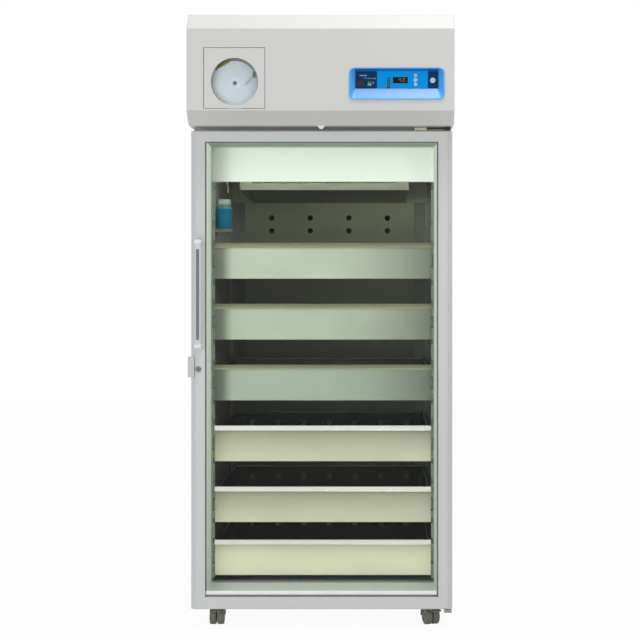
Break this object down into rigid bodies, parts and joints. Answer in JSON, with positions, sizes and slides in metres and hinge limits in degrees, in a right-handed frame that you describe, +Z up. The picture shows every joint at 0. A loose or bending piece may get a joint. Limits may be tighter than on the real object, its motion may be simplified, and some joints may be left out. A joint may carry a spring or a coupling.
{
  "type": "blood bank refrigerator",
  "caption": "Upright blood bank refrigerator with a glass door, pull-out drawers, overhanging header with chart recorder and control panel, and casters.",
  "frame": {"origin": "centre of the footprint at floor level", "axes": "+X to the right seen from the front, +Y to the rear, +Z up"},
  "size_m": [0.862, 0.948, 1.994],
  "materials": {
    "cabinet_paint": "satin light grey enamel",
    "header_paint": "satin light grey enamel",
    "door_paint": "satin grey enamel",
    "liner_paint": "gloss white enamel",
    "foam": "matt rigid foam",
    "breaker_plastic": "matt",
    "duct_paint": "satin",
    "glass": "clear, faintly green",
    "bead_plastic": "matt dark",
    "gasket_rubber": "matt",
    "inlay_rubber": "matt blue grey",
    "steel": "brushed",
    "chrome": "polished",
    "zinc_steel": "zinc plated",
    "valance_paint": "satin white",
    "cover_aluminium": "satin",
    "coil_aluminium": "satin",
    "bottle_plastic": "clear teal liquid inside",
    "bracket_paint": "satin beige grey",
    "lead_jacket": "matt pale",
    "sleeve_plastic": "matt",
    "hinge_steel": "satin dark",
    "compressor_paint": "gloss black",
    "fan_plastic": "matt black",
    "recorder_plastic": "matt grey",
    "recorder_door_paint": "satin",
    "window_plastic": "clear",
    "chart_paper": "matt pale blue paper",
    "pen_steel": "satin",
    "bezel_plastic": "satin light blue",
    "panel_plastic": "satin blue",
    "key_plastic": "matt black",
    "button_plastic": "satin pale blue",
    "inlet_plastic": "matt black",
    "caster_plastic": "matt dark grey",
    "wheel_rubber": "matt dark grey",
    "pedal_plastic": "matt dark grey"
  },
  "bodies": {
    "cabinet": {"outer_panels": "cabinet_paint", "insulation": "foam", "liner": "liner_paint", "breaker_strip": "breaker_plastic", "duct_panel": "duct_paint", "port_sleeve": "sleeve_plastic", "hinge_brackets": "hinge_steel", "light_valance": "valance_paint", "evaporator_cover": "cover_aluminium", "evaporator_coil": "coil_aluminium", "fixed_runners": "zinc_steel", "pilasters": "zinc_steel", "probe_bottle": "bottle_plastic", "bottle_bracket": "bracket_paint", "probe_lead": "lead_jacket", "header_cover": "header_paint", "header_latch": "header_paint", "header_housing": "cabinet_paint", "compressor": "compressor_paint", "condenser_coil": "coil_aluminium", "power_inlet": "inlet_plastic", "recorder_case": "recorder_plastic", "control_bezel": "bezel_plastic", "control_faceplate": "panel_plastic", "caster_plates": "zinc_steel"},
    "door": {"door_frame": "door_paint", "glazing_bead": "bead_plastic", "glass_panes": "glass", "door_gasket": "gasket_rubber", "door_handle": "door_paint", "handle_inlay": "inlay_rubber", "hasp_plate": "door_paint"},
    "lock": {"lock_cylinder": "chrome"},
    "drawer_1": {"drawer_1": "steel"},
    "drawer_2": {"drawer_2": "steel"},
    "drawer_3": {"drawer_3": "steel"},
    "drawer_4": {"drawer_4": "steel"},
    "drawer_5": {"drawer_5": "steel"},
    "drawer_6": {"drawer_6": "steel"},
    "recorder_lid": {"recorder_door": "recorder_door_paint", "recorder_window": "window_plastic"},
    "chart": {"chart_disc": "chart_paper"},
    "pen": {"pen_arm": "pen_steel"},
    "key_switch": {"key_switch": "key_plastic"},
    "button_up": {"button_up": "button_plastic"},
    "button_set": {"button_set": "button_plastic"},
    "button_down": {"button_down": "button_plastic"},
    "mute_button": {"mute_button": "button_plastic"},
    "evaporator_fan": {"evaporator_fan": "fan_plastic"},
    "condenser_fan": {"condenser_fan": "fan_plastic"},
    "swivel_front_left": {"caster_fork_front_left": "caster_plastic"},
    "wheels_front_left": {"caster_wheels_front_left": "wheel_rubber"},
    "swivel_front_right": {"caster_fork_front_right": "caster_plastic"},
    "wheels_front_right": {"caster_wheels_front_right": "wheel_rubber"},
    "swivel_rear_left": {"caster_fork_rear_left": "caster_plastic"},
    "wheels_rear_left": {"caster_wheels_rear_left": "wheel_rubber"},
    "swivel_rear_right": {"caster_fork_rear_right": "caster_plastic"},
    "wheels_rear_right": {"caster_wheels_rear_right": "wheel_rubber"},
    "pedal_front_left": {"brake_pedal_front_left": "pedal_plastic"},
    "pedal_front_right": {"brake_pedal_front_right": "pedal_plastic"}
  },
  "joints": [
    {"name": "door_hinge", "type": "hinge", "parent": "cabinet", "child": "door", "pos_m": [0.412, -0.33, 0.85], "axis": [0, 0, 1], "range_deg": [0, 130]},
    {"name": "drawer_1_slide", "type": "slide", "parent": "cabinet", "child": "drawer_1", "axis": [0, -1, 0], "range_m": [0, 0.2156]},
    {"name": "drawer_2_slide", "type": "slide", "parent": "cabinet", "child": "drawer_2", "axis": [0, -1, 0], "range_m": [0, 0.2156]},
    {"name": "drawer_3_slide", "type": "slide", "parent": "cabinet", "child": "drawer_3", "axis": [0, -1, 0], "range_m": [0, 0.2156]},
    {"name": "drawer_4_slide", "type": "slide", "parent": "cabinet", "child": "drawer_4", "axis": [0, -1, 0], "range_m": [0, 0.2156]},
    {"name": "drawer_5_slide", "type": "slide", "parent": "cabinet", "child": "drawer_5", "axis": [0, -1, 0], "range_m": [0, 0.2156]},
    {"name": "drawer_6_slide", "type": "slide", "parent": "cabinet", "child": "drawer_6", "axis": [0, -1, 0], "range_m": [0, 0.2156]},
    {"name": "lock_turn", "type": "hinge", "parent": "door", "child": "lock", "pos_m": [-0.4, -0.38, 0.851], "axis": [0, 1, 0], "range_deg": [0, 90]},
    {"name": "recorder_lid_hinge", "type": "hinge", "parent": "cabinet", "child": "recorder_lid", "pos_m": [-0.37, -0.47, 1.783], "axis": [0, 0, -1], "range_deg": [0, 110]},
    {"name": "chart_turn", "type": "hinge", "parent": "cabinet", "child": "chart", "pos_m": [-0.275, -0.449, 1.7695], "axis": [0, 1, 0], "continuous": true},
    {"name": "pen_swing", "type": "hinge", "parent": "cabinet", "child": "pen", "pos_m": [-0.204, -0.452, 1.812], "axis": [0, -1, 0], "range_deg": [-7, 24]},
    {"name": "key_turn", "type": "hinge", "parent": "cabinet", "child": "key_switch", "pos_m": [0.1267, -0.45, 1.769], "axis": [0, 1, 0], "range_deg": [0, 90]},
    {"name": "button_up_press", "type": "slide", "parent": "cabinet", "child": "button_up", "axis": [0, 1, 0], "range_m": [0, 0.001], "stiffness_N_per_m": 250, "springref_m": -0.0004},
    {"name": "button_set_press", "type": "slide", "parent": "cabinet", "child": "button_set", "axis": [0, 1, 0], "range_m": [0, 0.001], "stiffness_N_per_m": 250, "springref_m": -0.0004},
    {"name": "button_down_press", "type": "slide", "parent": "cabinet", "child": "button_down", "axis": [0, 1, 0], "range_m": [0, 0.001], "stiffness_N_per_m": 250, "springref_m": -0.0004},
    {"name": "mute_button_press", "type": "slide", "parent": "cabinet", "child": "mute_button", "axis": [0, 1, 0], "range_m": [0, 0.001], "stiffness_N_per_m": 250, "springref_m": -0.0004},
    {"name": "evaporator_fan_spin", "type": "hinge", "parent": "cabinet", "child": "evaporator_fan", "pos_m": [0, -0.11, 1.514], "axis": [0, 1, 0], "continuous": true},
    {"name": "condenser_fan_spin", "type": "hinge", "parent": "cabinet", "child": "condenser_fan", "pos_m": [0.22, 0.342, 1.8], "axis": [0, 1, 0], "continuous": true},
    {"name": "swivel_front_left", "type": "hinge", "parent": "cabinet", "child": "swivel_front_left", "pos_m": [-0.35, -0.25, 0.065], "axis": [0, 0, 1], "continuous": true},
    {"name": "roll_front_left", "type": "hinge", "parent": "swivel_front_left", "child": "wheels_front_left", "pos_m": [-0.35, -0.278, 0.029], "axis": [1, 0, 0], "continuous": true},
    {"name": "brake_front_left", "type": "hinge", "parent": "swivel_front_left", "child": "pedal_front_left", "pos_m": [-0.35, -0.305, 0.056], "axis": [1, 0, 0], "range_deg": [0, 18]},
    {"name": "swivel_front_right", "type": "hinge", "parent": "cabinet", "child": "swivel_front_right", "pos_m": [0.35, -0.25, 0.065], "axis": [0, 0, 1], "continuous": true},
    {"name": "roll_front_right", "type": "hinge", "parent": "swivel_front_right", "child": "wheels_front_right", "pos_m": [0.35795, -0.27685, 0.029], "axis": [0.9588, 0.284, 0], "continuous": true},
    {"name": "brake_front_right", "type": "hinge", "parent": "swivel_front_right", "child": "pedal_front_right", "pos_m": [0.36562, -0.30274, 0.056], "axis": [0.9588, 0.284, 0], "range_deg": [0, 18]},
    {"name": "swivel_rear_left", "type": "hinge", "parent": "cabinet", "child": "swivel_rear_left", "pos_m": [-0.35, 0.395, 0.065], "axis": [0, 0, 1], "continuous": true},
    {"name": "roll_rear_left", "type": "hinge", "parent": "swivel_rear_left", "child": "wheels_rear_left", "pos_m": [-0.35, 0.367, 0.029], "axis": [1, 0, 0], "continuous": true},
    {"name": "swivel_rear_right", "type": "hinge", "parent": "cabinet", "child": "swivel_rear_right", "pos_m": [0.35, 0.395, 0.065], "axis": [0, 0, 1], "continuous": true},
    {"name": "roll_rear_right", "type": "hinge", "parent": "swivel_rear_right", "child": "wheels_rear_right", "pos_m": [0.35, 0.367, 0.029], "axis": [1, 0, 0], "continuous": true}
  ],
  "couplings": [
    {"joint": "drawer_1_slide", "follows": "door_hinge", "m_per_rad": 0.095},
    {"joint": "drawer_2_slide", "follows": "door_hinge", "m_per_rad": 0.095},
    {"joint": "drawer_3_slide", "follows": "door_hinge", "m_per_rad": 0.095},
    {"joint": "drawer_4_slide", "follows": "door_hinge", "m_per_rad": 0.095},
    {"joint": "drawer_5_slide", "follows": "door_hinge", "m_per_rad": 0.095},
    {"joint": "drawer_6_slide", "follows": "door_hinge", "m_per_rad": 0.095}
  ]
}
